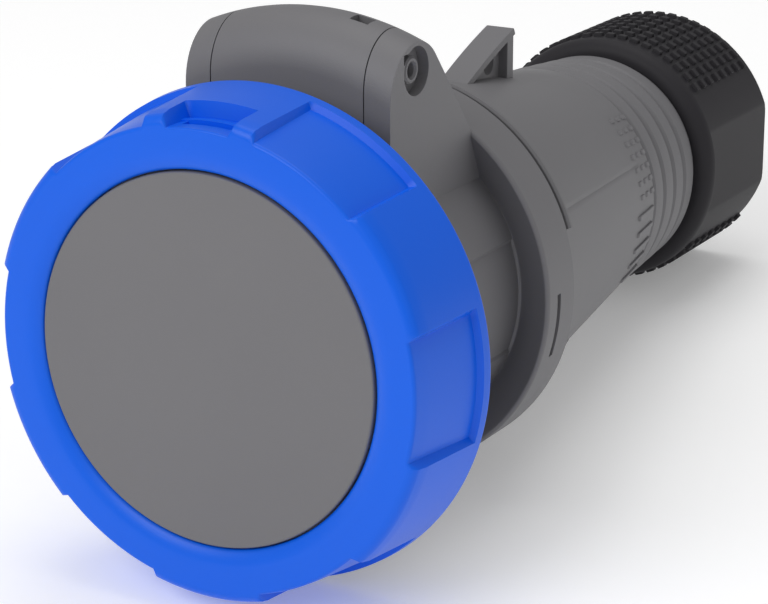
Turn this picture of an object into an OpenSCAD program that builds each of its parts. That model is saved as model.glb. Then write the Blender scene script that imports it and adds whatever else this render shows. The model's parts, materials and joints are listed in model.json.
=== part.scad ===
// Pin-and-sleeve socket connector with a sprung, sealed lid, a bayonet
// locking ring on the lid and a cable gland at the rear.
//
// Every piece is drawn on the connector's own axis: Y runs from the lid face
// (y = 0) to the gland, Z points to the hinge. posed() then lays the whole
// connector on the floor, on the ring's rear edge and the nut's rear edge.
// Clock angles are read from the front: 0 is the hinge, 90 is the right side.

/* [Bayonet ring] */
// Outer radius at the rear edge
ring_r = 50; // [48:0.5:53]
// How much narrower the ring is at its front
ring_taper = 1.9; // [0.5:0.1:3]
// Length along the axis
ring_len = 22.6; // [21:0.2:24]
// Thickness of the skirt at its rear edge
ring_wall = 5; // [4.4:0.2:5.6]
// Thickness of the front lip
ring_lip = 2.6; // [2:0.1:3]
// Rounding of the outer front edge
ring_round = 2.2; // [1:0.1:2.6]
// Width of each sunken finger grip, in degrees
grip_arc = 29; // [20:1:34]
// Depth of the finger grips
grip_depth = 1.8; // [1:0.1:2.4]
// Solid rim left behind the finger grips
grip_rim = 3.2; // [2:0.1:4]
// Width of the lock window at the top, in degrees
window_arc = 18; // [12:1:20]
// Length of the lock window
window_len = 8.4; // [6:0.2:10]
// How far the ring turns from open to locked, in degrees
lock_turn = 38; // [34:1:40]

/* [Lid] */
// Radius of the flat face inside the ring
lid_face_r = 37; // [35:0.5:38]
// How far the face lies behind the ring's front
lid_inset = 0.85; // [0.4:0.05:1.4]
// Thickness of the face plate
lid_plate = 3; // [2.4:0.1:3.6]
// Thickness of the rim that the ring turns on
lid_rim_t = 2.4; // [2:0.1:3]
// Height of the sealing gasket
gasket_h = 2.4; // [2:0.1:3]
// Depth of the gasket's groove
gasket_seat = 1.6; // [1:0.1:1.8]

/* [Hinge] */
// Distance of the hinge axis behind the lid face
hinge_y = 41.7; // [39:0.5:43]
// Height of the hinge axis over the connector's axis
hinge_z = 50.8; // [50:0.2:54]
// Rounding of the knuckle and ears about the hinge axis
nose_r = 10.2; // [9:0.2:11]
// Half of the width over both ears
ear_out = 23.1; // [21:0.5:25]
// Thickness of each ear
ear_t = 5.7; // [4.5:0.1:6.5]
// Slope of the ears' back, in degrees
ear_slope = 47.6; // [44:0.2:52]
// Radius of the hinge pin
pin_r = 2.72; // [2.2:0.02:3.2]
// Radius of the hole down the pin
pin_bore = 1.55; // [1:0.05:2]
// Radius of the pin's counterbore in the ears
recess_r = 4.85; // [4.2:0.05:5.2]
// Depth of the counterbore
recess_depth = 2.4; // [1.5:0.1:3]
// Wire diameter of the lid spring
wire_d = 1.3; // [1:0.1:1.5]
// Turns of the lid spring
spring_turns = 9; // [6:1:11]

/* [Front housing] */
// Radius of the opening that takes the plug's sleeve
mouth_r = 28.5; // [27.6:0.1:29.2]
// Depth of the opening, from the rim
mouth_depth = 40.8; // [38:0.2:42]
// Thickness of the neck round the opening
neck_wall = 4.5; // [4:0.1:5]
// How far the sealing rim stands out from the neck
rim_step = 2.6; // [1.5:0.1:2.8]
// Width of the shoulder that the contact insert sits on
insert_step = 2.1; // [1.6:0.1:2.5]
// How far the flange stands out from the neck
flange_step = 8.2; // [6:0.2:10]
// Distance of the flange's front edge behind the lid face
flange_y = 64.1; // [62:0.2:65]
// Length of the flange's rim
flange_len = 12.2; // [10:0.2:14]
// How far the flange's front face is dished
flange_dish = 4; // [2:0.2:5]
// Width of the plug's key groove
key_w = 7; // [5:0.5:8]

/* [Contacts] */
// How far the contacts stand in from the insert's side
contact_inset = 8; // [7.5:0.1:8.5]
// Bore radius of the line and neutral contacts
line_r = 3; // [2.5:0.1:3.2]
// Bore radius of the earth contact
earth_r = 4; // [3.5:0.1:4.2]
// Wall of the contact tubes
contact_wall = 1.3; // [1:0.1:1.4]
// Room for the plug's sleeve, between the insert and the opening's wall
sleeve_gap = 6; // [5.5:0.1:6.3]
// Depth of the contact bores
contact_depth = 34; // [30:0.5:36]

/* [Rear shell] */
// How far the end of the taper stands out from the gland thread
taper_end_step = 4.4; // [3.5:0.1:5.5]
// How far the shell's end stands out from the gland thread
shell_end_step = 1.2; // [0.8:0.1:2]
// Distance of the end of the taper behind the lid face
shell_mid_y = 144; // [138:0.5:148]
// Distance of the shell's end behind the lid face
shell_end_y = 173; // [168:0.5:178]
// Wall thickness
shell_wall = 3; // [2.4:0.1:3.4]
// Outer radius of the gland thread
thread_r = 24; // [23:0.1:24.2]
// Length of the gland thread
thread_len = 22; // [18:0.5:24]
// Half of the width of the hanging lug
lug_half = 3.4; // [2.5:0.1:4.5]
// Radius of the hanging lug's eye
eye_r = 2.3; // [1.8:0.1:2.4]

/* [Gland] */
// Thickness of the nut over its ridges
nut_wall = 5.9; // [5:0.1:7]
// Length of the nut
nut_len = 37.8; // [36:0.2:40]
// Depth of the nut's two flats
flat_depth = 2.6; // [1.6:0.1:3]
// Height of the ridges
knurl_h = 0.9; // [0.5:0.1:1]
// Pitch of the gland thread
thread_pitch = 3; // [2:0.5:4]
// Radius of the cable hole in the grommet
cable_r = 8.5; // [7:0.1:10]
// Radius of the nut's rear hole
nut_hole_r = 13; // [11.5:0.1:14]

/* [Hidden] */
$fn = 72;

body_grey = "#6a696d";
seal_black = "#202022";
lock_blue = "#1e68dc";
nut_black = "#353337";
insert_grey = "#8c8a8c";
brass = "#c9a64b";
steel = "#b4b6b8";
natural = "#e4e2da";

// Clearances between pieces
slip = 0.3;          // curved faces that turn or slide past each other
seat = 0.1;          // pieces of one body that are dropped into place
pin_run = 0.07;      // pin in the lid's knuckle
pin_fit = 0.02;      // pin in the ears
lid_gap = 0.2;       // lid gasket over the sealing rim with the ring open

neck_r = mouth_r + neck_wall;
flange_r = neck_r + flange_step;

// Bayonet ring
skirt_in = ring_r - ring_wall;
ring_front_r = ring_r - ring_taper;
lip_in = lid_face_r + slip;
grip_pitch = 60;
grip_edge = 0.9;
hook_r = skirt_in - 4.6;
hook_y = 14;
hook_t = 5.2;
hook_arc = 28;
pocket_y = ring_lip + 3;
clip_t = 1.4;
clip_out = skirt_in + 0.8;
clip_in = skirt_in - 2.6;

// Lid
rim_y = ring_lip + 0.2;
lid_back_y = rim_y + lid_rim_t;
lid_rim_r = skirt_in - 0.4;
mouth_y = lid_back_y - gasket_seat + gasket_h + lid_gap;
rim_r = neck_r + rim_step;
gasket_in = mouth_r + 1.2;
gasket_out = rim_r - 0.2;
arm_half = 22;
arm_in = rim_r + 2.6;
arm_out = skirt_in - 0.7;

// Hinge
knuckle_half = ear_out - ear_t - 0.25;
crown_r = hinge_z + nose_r;
flange_back_y = flange_y + flange_len;
dish_y = flange_y + flange_dish;
coil_r = 4.6;
coil_half = 9;
spring_bay_r = 6.4;
spring_bay_half = 12;

// Front housing
insert_r = mouth_r - sleeve_gap;
contact_circle_r = insert_r - contact_inset;
insert_bore_r = mouth_r + insert_step;
lug_r = skirt_in - 2.4;
lug_arc = 28;
lug_y = 8.4;
lug_t = 5;
panel_depth = 0.5;
mouth_end = mouth_y + mouth_depth;
spigot_r = neck_r + 0.6;
spigot_end = flange_back_y + 11.6;
seal_w = 2;
seal_y = flange_back_y + 5;
seal_depth = 1.7;

// Insert stack
insert_front = mouth_y + 2.8;
insert_flange_t = 5;
retainer_y = mouth_end + insert_flange_t;
retainer_t = 5;
clip_y = retainer_y + retainer_t + 0.1;
snap_t = 2;
contact_front = insert_front + 2;
collar_t = 3;
terminal_len = 17;
terminal_end = retainer_y + retainer_t + terminal_len;
screw_circle_r = mouth_r - 4;
screw_clocks = [0, 120, 240];
screw_r = 1.5;
screw_head_r = 2.9;
screw_head_t = 2;
screw_hold = 4.3;
clamp_r = 1.6;
clamp_back = 5;
wire_hole_depth = 12;
barrier_t = 1.8;
barrier_len = 11;
barrier_from = 2;
barrier_h = 16;
insert_key_len = 11;
insert_key_depth = 0.8;

// Rear shell
shell_y = flange_back_y + 1.25;
strip_len = 2;
strip_r = flange_r - 0.2;
strip_half = 72;
shell_in = spigot_r + seat;
shell_front_r = shell_in + shell_wall + 0.5;
shell_mid_r = thread_r + taper_end_step;
shell_end_r = thread_r + shell_end_step;
cage_seat_y = shell_end_y - 1.8;
cage_seat_r = thread_r - 3.7;
passage_r = cage_seat_r - 3;
thread_end = shell_end_y + thread_len;
latch_clocks = [120, 240];
latch_y = shell_y + strip_len + 0.4;
latch_len = 8.5;
latch_w = 8;
latch_t = 1.8;
grip_len = 11;
grip_w = 1.2;
grip_h = 0.5;
lug_foot_y = 99;
lug_peak_y = 121.6;
lug_peak_z = 42.4;
lug_web = 2.4;
eye_y = 113.9;

// Gland
nut_y = shell_end_y + slip;
nut_end = nut_y + nut_len;
nut_in = thread_r + slip;
nut_r = nut_in + nut_wall;
nut_flat = nut_r - flat_depth;
cage_r = cage_seat_r - 0.2;
cage_in = cage_r - 3.5;
cage_base = 6;
cage_end = thread_end + 5;
cage_fingers = 10;
washer_t = 1.2;
washer_y = cage_end + 0.3;
nut_wall_y = washer_y + washer_t + 0.2;
knurl_rows = 17;
knurl_pitch = 6.1;
knurl_w = 2.3;
knurl_y = nut_y + 3.4;
flat_half = acos(nut_flat / nut_r);

// Lying on the floor: the ring's rear edge and the nut's rear edge touch down
edge_round = 0.8;
nut_core_r = nut_r - knurl_h;
knurl_end = nut_end - edge_round - 0.3;
rest_run = knurl_end - (ring_len - edge_round);
rest_drop = (ring_r - edge_round) - nut_r;
tilt = atan(rest_drop / rest_run) + asin(edge_round / norm([rest_run, rest_drop]));
lift = (ring_len - edge_round) * sin(tilt) + (ring_r - edge_round) * cos(tilt) + edge_round;
front_reach = (ring_front_r - ring_round) * sin(tilt) + ring_round * (1 - cos(tilt));
rear_reach = (nut_end - edge_round) * cos(tilt) + (nut_core_r - edge_round) * sin(tilt) + edge_round;
centre_y = (rear_reach - front_reach) / 2;

module posed() {
    translate([0, -centre_y, lift]) rotate([-tilt, 0, 0]) children();
}

// A profile of [radius, y] points turned about the axis, from one clock to another
module turned(from = 0, to = 360) {
    rotate([-90, 0, 0])
        rotate_extrude(angle = to - from, start = from - 90) children();
}

module at_clock(clock) {
    rotate([0, clock, 0]) children();
}

module along_y(y0, y1, r) {
    translate([0, y0, 0]) rotate([-90, 0, 0]) cylinder(r = r, h = y1 - y0);
}

module along_x(half, r) {
    rotate([0, 90, 0]) cylinder(r = r, h = 2 * half, center = true);
}

function arc(cx, cy, r, a0, a1, n) =
    [for (i = [0:n]) let (a = a0 + (a1 - a0) * i / n) [cx + r * cos(a), cy + r * sin(a)]];

function ring_out(y) = ring_front_r + ring_taper * y / ring_len;

// ---- Bayonet ring ----

module ring_section() {
    polygon(concat(
        [[lip_in, lid_inset + 0.5]],
        arc(lip_in + 2.9, 0.9, 0.9, 200, 270, 4),
        arc(ring_front_r - ring_round, ring_round, ring_round, -90, 0, 5),
        arc(ring_r - edge_round, ring_len - edge_round, edge_round, 0, 90, 3),
        [[skirt_in + 0.4, ring_len], [skirt_in, ring_len - 0.4],
         [skirt_in, ring_lip], [lip_in, ring_lip]]));
}

module grip_cutter() {
    floor_r = ring_out(0) - grip_depth;
    rear_y = ring_len - grip_rim;
    turned(-grip_arc / 2, grip_arc / 2)
        polygon(concat(
            [[floor_r - grip_edge, -1]],
            arc(floor_r - grip_edge, grip_edge, grip_edge, -90, 0, 4),
            [[ring_out(rear_y) - grip_depth, rear_y - 0.6],
             [ring_out(rear_y) - grip_depth + 0.6, rear_y],
             [ring_r + 3, rear_y], [ring_r + 3, -1]]));
}

module lock_window() {
    floor_r = ring_front_r - 2.6;
    turned(-window_arc / 2, window_arc / 2)
        polygon([[floor_r - 1, -1], [floor_r, 1.2], [floor_r, window_len],
                 [ring_r + 3, window_len], [ring_r + 3, -1]]);
    // a pocket in the window's floor, open to the inside along its rear
    turned(-window_arc / 2 + 2, window_arc / 2 - 2)
        polygon([[skirt_in - 2, pocket_y], [skirt_in - 2, window_len - 0.6],
                 [floor_r + 1, window_len - 0.6], [floor_r + 1, ring_lip + 0.6],
                 [skirt_in + 0.2, ring_lip + 0.6], [skirt_in, pocket_y]]);
}

// The hook's front face is a ramp that pulls the lid onto the rim
module hook(clock) {
    half = hook_arc / 2;
    difference() {
        turned(clock - half, clock + half)
            polygon([[hook_r, hook_y], [skirt_in + 1, hook_y],
                     [skirt_in + 1, hook_y + hook_t], [hook_r, hook_y + hook_t]]);
        at_clock(clock) translate([0, hook_y, hook_r - 2]) rotate([0, 0, -6])
            translate([-30, -10, 0]) cube([60, 10, 14]);
    }
}

module bayonet_ring() {
    color(lock_blue) union() {
        difference() {
            turned() ring_section();
            for (i = [0:5]) at_clock((i + 0.5) * grip_pitch) grip_cutter();
            lock_window();
            turned() polygon([[skirt_in - 1, clip_y0() - 0.1], [clip_out + 0.1, clip_y0() - 0.1],
                              [clip_out + 0.1, clip_y0() + clip_t + 0.1],
                              [skirt_in - 1, clip_y0() + clip_t + 0.1]]);
        }
        hook(48);
        hook(228);
    }
}

function clip_y0() = lid_back_y + 0.3;

// C-shaped clip that keeps the ring on the lid; its gap clears the lid's arm
module ring_clip() {
    color(natural)
        turned(arm_half + 4, 360 - arm_half - lock_turn - 3)
            polygon([[clip_in, clip_y0()], [clip_out, clip_y0()],
                     [clip_out, clip_y0() + clip_t], [clip_in, clip_y0() + clip_t]]);
}

// ---- Lid ----

module lid_section() {
    seat_y = lid_back_y - gasket_seat;
    polygon(concat(
        [[0, lid_inset]],
        arc(lid_face_r - 0.6, lid_inset + 0.6, 0.6, -90, 0, 3),
        [[lid_face_r, rim_y], [lid_rim_r, rim_y], [lid_rim_r, lid_back_y],
         [gasket_out + 0.1, lid_back_y], [gasket_out + 0.1, seat_y],
         [gasket_in - 0.1, seat_y], [gasket_in - 0.1, lid_back_y],
         [gasket_in - 2.6, lid_back_y], [gasket_in - 2.6, lid_inset + lid_plate],
         [0, lid_inset + lid_plate]]));
}

// Profile of the knuckle and the ears: [radius, y], rounded over the hinge axis
function hinge_profile(back_y, low_r) =
    let (a = 90 - ear_slope,
         ty = hinge_y + nose_r * cos(a),
         tr = hinge_z + nose_r * sin(a))
    concat(
        [[low_r, hinge_y - nose_r]],
        [for (i = [0:10]) let (t = 180 - (180 - a) * i / 10)
            [hinge_z + nose_r * sin(t), hinge_y + nose_r * cos(t)]],
        [[tr - (back_y - ty) * tan(ear_slope), back_y], [low_r, back_y]]);

module slab_x(x0, x1) {
    translate([x0, 0, 0]) cube([x1 - x0, 100, 100]);
}

module lid_knuckle() {
    difference() {
        intersection() {
            turned(-32, 32) polygon(hinge_profile(hinge_y + 9.6, arm_in));
            slab_x(-knuckle_half, knuckle_half);
        }
        translate([0, hinge_y, hinge_z]) along_x(ear_out, pin_r + pin_run);
        translate([0, hinge_y, hinge_z]) along_x(spring_bay_half, spring_bay_r);
        // the bay is open below and behind, so the spring's leg clears it as the lid swings
        translate([-spring_bay_half, hinge_y - coil_r - 1.2, arm_in - 8])
            cube([2 * spring_bay_half, 20, hinge_z - arm_in + 10.2]);
        // drain slot in the crown
        translate([9.6, hinge_y - 2.2, hinge_z]) cube([4, 3.4, 20]);
    }
}

module lid() {
    color(body_grey) union() {
        turned() lid_section();
        // cross ribs behind the face plate
        for (clock = [0:45:135]) at_clock(clock)
            translate([-gasket_in + 2, lid_inset + lid_plate - 0.5, -0.9])
                cube([2 * gasket_in - 4, 1.5, 1.8]);
        turned(-arm_half, arm_half)
            polygon([[arm_in, lid_back_y - 1], [arm_out, lid_back_y - 1],
                     [arm_out, hinge_y - nose_r + 3], [arm_in, hinge_y - nose_r + 3]]);
        lid_knuckle();
    }
}

module lid_gasket() {
    y0 = lid_back_y - gasket_seat;
    color(seal_black)
        turned() polygon([[gasket_in, y0], [gasket_out, y0], [gasket_out, y0 + gasket_h - 0.6],
                          [gasket_out - 1.2, y0 + gasket_h], [gasket_in + 1.2, y0 + gasket_h],
                          [gasket_in, y0 + gasket_h - 0.6]]);
}

// ---- Hinge pin and spring ----

module hinge_pin() {
    half = ear_out - recess_depth + 1.4;
    color(steel) translate([0, hinge_y, hinge_z]) difference() {
        along_x(half, pin_r);
        along_x(half + 1, pin_bore);
    }
}

// Torsion spring: a coil about the pin, with a foot on the neck and a short
// free end against the wall of its bay
coil_step = 2 * coil_half / spring_turns;
foot_z = neck_r + wire_d / 2 + 0.05;
function coil_point(t) =
    [coil_half - coil_step * t, hinge_y - coil_r * sin(360 * t), hinge_z - coil_r * cos(360 * t)];
spring_path = concat(
    [[coil_half, hinge_y + 4, foot_z], [coil_half, hinge_y - coil_r + 1.6, foot_z],
     [coil_half, hinge_y - coil_r + 0.4, foot_z + 0.7], [coil_half, hinge_y - coil_r, foot_z + 2.4]],
    [for (i = [4:16 * spring_turns]) coil_point(i / 16)],
    [[-coil_half, hinge_y - 2.9, hinge_z - coil_r]]);

function unit(v) = v / norm(v);
function heading(path, i) = unit(path[min(i + 1, len(path) - 1)] - path[max(i - 1, 0)]);

module wire(path, d, sides = 8) {
    rings = [for (i = [0:len(path) - 1])
        let (t = heading(path, i), u = unit(cross(t, [1, 0.02, 0.01])), v = cross(t, u))
        [for (k = [0:sides - 1])
            path[i] + d / 2 * (u * cos(360 * k / sides) + v * sin(360 * k / sides))]];
    last = sides * (len(path) - 1);
    polyhedron(
        points = [for (r = rings) each r],
        faces = concat(
            [[for (k = [0:sides - 1]) k]],
            [[for (k = [sides - 1:-1:0]) last + k]],
            [for (i = [0:len(path) - 2], k = [0:sides - 1])
                let (n = (k + 1) % sides)
                [sides * i + k, sides * (i + 1) + k, sides * (i + 1) + n, sides * i + n]]),
        convexity = 10);
}

module lid_spring() {
    color(steel) wire(spring_path, wire_d);
}

// ---- Front housing ----

module housing_section() {
    polygon(concat(
        [[mouth_r, mouth_y + 0.8], [mouth_r + 0.8, mouth_y]],
        arc(rim_r - 0.8, mouth_y + 0.8, 0.8, -90, 0, 3),
        [[rim_r, lug_y + lug_t], [neck_r, lug_y + lug_t + rim_step],
         [neck_r, flange_back_y], [spigot_r, flange_back_y],
         [spigot_r, seal_y], [spigot_r - seal_depth, seal_y],
         [spigot_r - seal_depth, seal_y + seal_w], [spigot_r, seal_y + seal_w],
         [spigot_r, spigot_end - 0.6], [spigot_r - 0.6, spigot_end],
         [insert_bore_r, spigot_end],
         [insert_bore_r, clip_y + snap_t + 0.1], [insert_bore_r + 0.8, clip_y + snap_t + 0.1],
         [insert_bore_r + 0.8, clip_y - 0.05], [insert_bore_r, clip_y - 0.05],
         [insert_bore_r, mouth_end], [mouth_r, mouth_end]]));
}

module flange_section() {
    polygon(concat(
        [[neck_r, dish_y], [flange_r - 1, flange_y]],
        arc(flange_r - 0.8, flange_y + 0.8, 0.8, -60, 0, 3),
        arc(flange_r - 0.6, flange_back_y - 0.6, 0.6, 0, 90, 3),
        [[neck_r, flange_back_y]]));
}

module ear(side) {
    x0 = side > 0 ? ear_out - ear_t : -ear_out;
    difference() {
        intersection() {
            turned(side > 0 ? 0 : -60, side > 0 ? 60 : 0)
                polygon(hinge_profile(dish_y + 0.6, neck_r));
            slab_x(x0, x0 + ear_t);
        }
        translate([0, hinge_y, hinge_z]) along_x(ear_out + 1, pin_r + pin_fit);
        translate([side * ear_out, hinge_y, hinge_z]) along_x(recess_depth, recess_r);
    }
}

// The housing is one moulding; its flange and ears are a node of their own
module front_housing() {
    color(body_grey) union() {
        difference() {
            turned() housing_section();
            // key groove at the bottom of the mouth
            translate([-key_w / 2, mouth_y - 1, -mouth_r - 1.6]) cube([key_w, mouth_depth + 1, 8]);
            // sunken side panels of the neck
            for (side = [90, 270]) turned(side - 20, side + 21)
                polygon([[neck_r - panel_depth, ring_len], [neck_r + 1, ring_len],
                         [neck_r + 1, dish_y - 0.2], [neck_r - panel_depth, dish_y - 0.2]]);
        }
        for (side = [90, 270]) turned(side - lug_arc / 2, side + lug_arc / 2)
            polygon([[rim_r - 0.6, lug_y], [lug_r - 0.6, lug_y], [lug_r, lug_y + 0.6],
                     [lug_r, lug_y + lug_t], [rim_r - 0.6, lug_y + lug_t]]);
    }
}

module hinge_flange() {
    color(body_grey) union() {
        difference() {
            turned() flange_section();
            // drain slots in the flange's rim
            for (side = [97.5, 262.5]) turned(side - 9.5, side + 9.5)
                polygon([[flange_r - 2, flange_y + 4], [flange_r + 1, flange_y + 4],
                         [flange_r + 1, flange_y + 5.5], [flange_r - 2, flange_y + 5.5]]);
        }
        ear(1);
        ear(-1);
    }
}

// ---- Contacts ----

module contact_places() {
    for (clock = [60, 300]) at_clock(clock) translate([0, 0, contact_circle_r]) children();
}

module earth_place() {
    at_clock(180) translate([0, 0, contact_circle_r]) children();
}

module contact(r) {
    out = r + contact_wall;
    color(brass) difference() {
        union() {
            along_y(contact_front, terminal_end, out);
            along_y(retainer_y - collar_t, retainer_y, out + 1.4);
            along_y(retainer_y + retainer_t + 1, terminal_end, out + 0.8);
        }
        along_y(contact_front - 1, contact_front + contact_depth, r);
        along_y(terminal_end - wire_hole_depth, terminal_end + 1, r);
        translate([0, terminal_end - clamp_back, 0]) cylinder(r = clamp_r, h = 2 * out);
    }
}

module line_contact() {
    at_clock(60) translate([0, 0, contact_circle_r]) contact(line_r);
}

module neutral_contact() {
    at_clock(300) translate([0, 0, contact_circle_r]) contact(line_r);
}

module earth_contact() {
    earth_place() contact(earth_r);
}

module clamp_screw(r) {
    tip = r * 0.3;
    head = r + contact_wall + 0.9;
    translate([0, terminal_end - clamp_back, 0]) difference() {
        union() {
            translate([0, 0, tip]) cylinder(r = clamp_r - 0.05, h = head - tip + 0.5);
            translate([0, 0, head]) cylinder(r = clamp_r + 1, h = 1.8);
        }
        translate([-0.4, -2 * clamp_r, head + 1]) cube([0.8, 4 * clamp_r, 2]);
    }
}

module terminal_screws() {
    color(steel) {
        contact_places() clamp_screw(line_r);
        earth_place() clamp_screw(earth_r);
    }
}

module insert_holes(extra) {
    contact_places() {
        along_y(insert_front - 1, terminal_end, line_r + contact_wall + extra);
    }
    earth_place() along_y(insert_front - 1, terminal_end, earth_r + contact_wall + extra);
}

module contact_insert() {
    color(insert_grey) difference() {
        turned() polygon([[0, insert_front], [insert_r - 1, insert_front], [insert_r, insert_front + 1],
                          [insert_r, mouth_end], [insert_bore_r - seat, mouth_end],
                          [insert_bore_r - seat, retainer_y], [0, retainer_y]]);
        insert_holes(seat);
        contact_places() along_y(retainer_y - collar_t - seat, retainer_y + 1, line_r + contact_wall + 1.4 + seat);
        earth_place() along_y(retainer_y - collar_t - seat, retainer_y + 1, earth_r + contact_wall + 1.4 + seat);
        for (clock = screw_clocks) at_clock(clock) translate([0, 0, screw_circle_r])
            along_y(retainer_y - screw_hold + 0.1, retainer_y + 1, screw_r + seat);
        // key groove in line with the earth contact
        translate([-key_w / 2 + 0.5, insert_front - 1, -insert_r - 1])
            cube([key_w - 1, insert_key_len + 1, insert_key_depth + 1]);
    }
}

module contact_retainer() {
    color(insert_grey) difference() {
        union() {
            along_y(retainer_y, retainer_y + retainer_t, insert_bore_r - seat);
            // barrier between the terminals
            for (clock = [0, 120, 240]) at_clock(clock)
                translate([-barrier_t / 2, retainer_y + retainer_t - 0.5, barrier_from])
                    cube([barrier_t, barrier_len, barrier_h]);
        }
        insert_holes(seat);
        for (clock = screw_clocks) at_clock(clock) translate([0, 0, screw_circle_r])
            along_y(retainer_y - 1, retainer_y + retainer_t + 1, screw_r + 2 * seat);
    }
}

module retainer_screws() {
    y = retainer_y + retainer_t;
    color(steel) for (clock = screw_clocks) at_clock(clock) translate([0, 0, screw_circle_r])
        difference() {
            union() {
                along_y(retainer_y - screw_hold + 0.4, y + 0.5, screw_r);
                along_y(y, y + screw_head_t, screw_head_r);
            }
            translate([-0.4, y + screw_head_t / 2, -2 * screw_head_r])
                cube([0.8, screw_head_t, 4 * screw_head_r]);
        }
}

// Open snap ring that holds the insert against its shoulder
module insert_snap_ring() {
    color(natural) turned(8, 352)
        polygon([[insert_bore_r - 3, clip_y], [insert_bore_r + 0.6, clip_y],
                 [insert_bore_r + 0.6, clip_y + snap_t], [insert_bore_r - 3, clip_y + snap_t]]);
}

module housing_seal() {
    rr = (seal_depth - 0.1) / 2;
    color(seal_black) turned()
        translate([spigot_r - seal_depth + rr + 0.05, seal_y + seal_w / 2]) circle(r = rr, $fn = 24);
}

// ---- Rear shell ----

function taper_r(y) = shell_front_r + (shell_mid_r - shell_front_r) * (y - shell_y) / (shell_mid_y - shell_y);

bead_n = 4;
bead_pitch = (shell_end_y - shell_mid_y - 1) / bead_n;
function collar_r(y) = shell_mid_r - 0.7 + (shell_end_r - shell_mid_r + 0.7) * (y - shell_mid_y) / (shell_end_y - shell_mid_y);
function bead(i) =
    let (y = shell_mid_y + 1 + i * bead_pitch)
    [[collar_r(y) - 0.5, y], [collar_r(y) + 0.35, y + 0.8],
     [collar_r(y) + 0.35, y + bead_pitch - 2.4], [collar_r(y) - 0.5, y + bead_pitch - 1.6]];

module shell_outline() {
    polygon(concat(
        [[0, shell_y], [shell_front_r, shell_y], [shell_mid_r, shell_mid_y - 0.6],
         [shell_mid_r - 0.9, shell_mid_y + 0.6]],
        [for (i = [0:bead_n - 1]) each bead(i)],
        [[shell_end_r - 0.3, shell_end_y - 0.7], [shell_end_r, shell_end_y - 0.5],
         [shell_end_r, shell_end_y], [thread_r, shell_end_y],
         [thread_r, thread_end - 1], [thread_r - 1, thread_end], [0, thread_end]]));
}

module shell_hollow() {
    neck_in = shell_mid_r - 0.9 - shell_wall;
    polygon([[0, shell_y - 1], [shell_in, shell_y - 1], [shell_in, spigot_end + 1],
             [neck_in, shell_mid_y], [passage_r + 2, shell_mid_y + 8], [passage_r, shell_mid_y + 12],
             [passage_r, cage_seat_y], [cage_seat_r, cage_seat_y], [cage_seat_r, thread_end + 1],
             [0, thread_end + 1]]);
}

// Hanging lug: a sloping strap and an upright joined by a thin web with an eye
module hanging_lug() {
    foot_z = taper_r(lug_foot_y) - 0.6;
    eye_z = taper_r(eye_y) + eye_r + 0.8;
    rise = lug_peak_z - foot_z;
    run = lug_peak_y - lug_foot_y;
    strap = 1.5;
    post = 3.2;
    top = [for (i = [0:8]) let (u = i / 8) [lug_foot_y + run * u, foot_z + rise * (1.22 * u - 0.22 * u * u)]];
    under = [for (i = [8:-1:0]) [top[i].x + strap * 0.5, top[i].y - strap]];
    base_z = taper_r(lug_peak_y) - 1.5;
    difference() {
        union() {
            lug_plate(lug_half, concat(top, under));
            lug_plate(lug_half, [[lug_peak_y - post, lug_peak_z - 1.6], [lug_peak_y, lug_peak_z],
                                 [lug_peak_y, base_z], [lug_peak_y - post, base_z]]);
            lug_plate(lug_web / 2, concat([for (p = top) [p.x, p.y - 0.4]],
                                          [[lug_peak_y - 1, base_z], [lug_foot_y + 6, base_z]]));
        }
        translate([0, eye_y, eye_z]) along_x(lug_web, eye_r);
    }
}

// A side view of [y, z] points, spread to both sides of the middle
module lug_plate(half, points) {
    translate([-half, 0, 0]) rotate([90, 0, 90]) linear_extrude(2 * half) polygon(points);
}

module rear_shell() {
    color(body_grey) difference() {
        union() {
            turned() shell_outline();
            turned(-strip_half, strip_half)
                polygon([[shell_front_r - 2, shell_y], [strip_r - 0.5, shell_y],
                         [strip_r, shell_y + 0.5], [strip_r, shell_y + strip_len - 0.4],
                         [strip_r - 0.4, shell_y + strip_len], [shell_front_r - 2, shell_y + strip_len]]);
            hanging_lug();
            // grip ribs low on both sides
            for (clock = [90:7.5:121], side = [1, -1]) at_clock(side * clock)
                grip_rib();
        }
        turned() shell_hollow();
        for (clock = latch_clocks) at_clock(clock) latch_pocket();
    }
}

module grip_rib() {
    y1 = shell_mid_y - 1.5;
    y0 = y1 - grip_len;
    lug_plate(grip_w / 2, [[y0, taper_r(y0) - grip_h], [y0 + 1, taper_r(y0 + 1) + grip_h],
                           [y1 - 0.5, taper_r(y1 - 0.5) + grip_h], [y1, taper_r(y1) - grip_h]]);
}

module latch_pocket() {
    translate([-latch_w / 2 - seat, latch_y - seat, taper_r(latch_y) - latch_t])
        cube([latch_w + 2 * seat, latch_len + 2 * seat, 10]);
}

module shell_latches() {
    color(body_grey) for (clock = latch_clocks) at_clock(clock)
        translate([-latch_w / 2, latch_y, taper_r(latch_y) - latch_t + 0.05]) difference() {
            cube([latch_w, latch_len, latch_t + 0.2]);
            translate([1.2, 2, latch_t - 0.5]) cube([latch_w - 2.4, 1.2, 2]);
        }
}

// ---- Cable gland ----

module grommet() {
    out = cage_in - 0.1;
    color(seal_black) difference() {
        turned() polygon(concat(
            [[cable_r, cage_seat_y + 0.2], [out, cage_seat_y + 0.2], [out, cage_end - 2]],
            arc(out - 2, cage_end - 2, 2, 0, 90, 4),
            [[cable_r + 1, cage_end], [cable_r, cage_end - 1]]));
    }
}

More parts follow.
